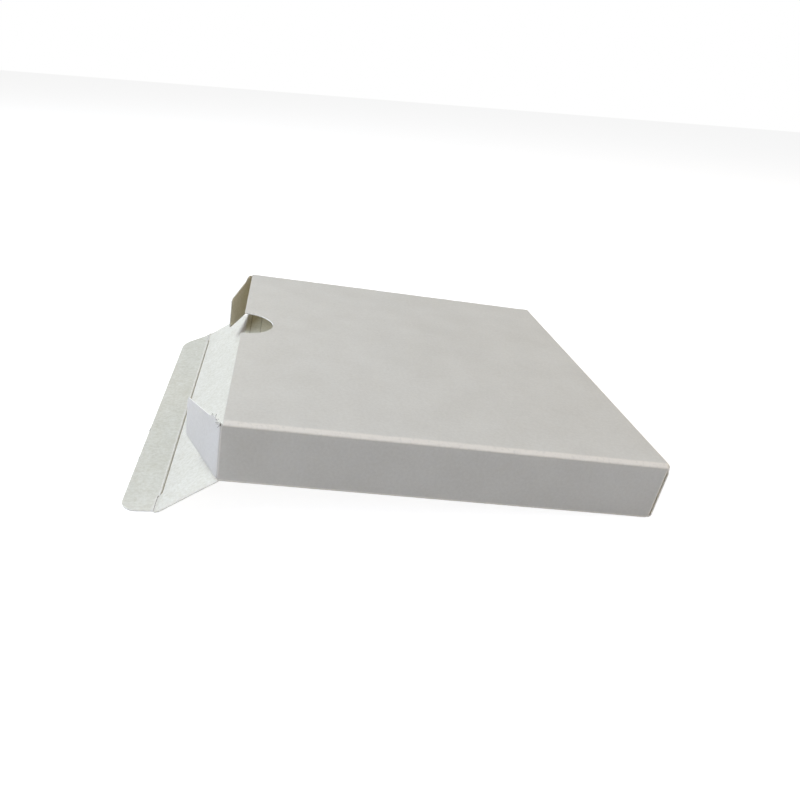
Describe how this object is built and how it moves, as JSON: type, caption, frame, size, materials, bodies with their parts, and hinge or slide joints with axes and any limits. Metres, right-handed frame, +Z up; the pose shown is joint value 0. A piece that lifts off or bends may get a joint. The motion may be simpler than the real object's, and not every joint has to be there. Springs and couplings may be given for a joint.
{
  "type": "gingerbread box",
  "caption": "Flat white folding carton, empty and open at one end with its tuck lid folded back.",
  "frame": {"origin": "on the table, below the middle of the part's outline", "axes": "+X from the open end with the lid to the closed end, +Y from the near side wall to the far one, +Z up from the table"},
  "size_m": [0.1834, 0.16, 0.0344],
  "materials": {
    "board_outside": "smooth, lightly calendered white coating",
    "board_inside": "uncoated, faintly mottled"
  },
  "bodies": {
    "carton": {"carton": "board_outside"},
    "lid": {"lid": "board_inside"}
  },
  "joints": [
    {"name": "lid_crease", "type": "hinge", "parent": "carton", "child": "lid", "pos_m": [-0.05952, 0, 0.01274], "axis": [0, 1, 0], "range_deg": [0, 40]}
  ]
}
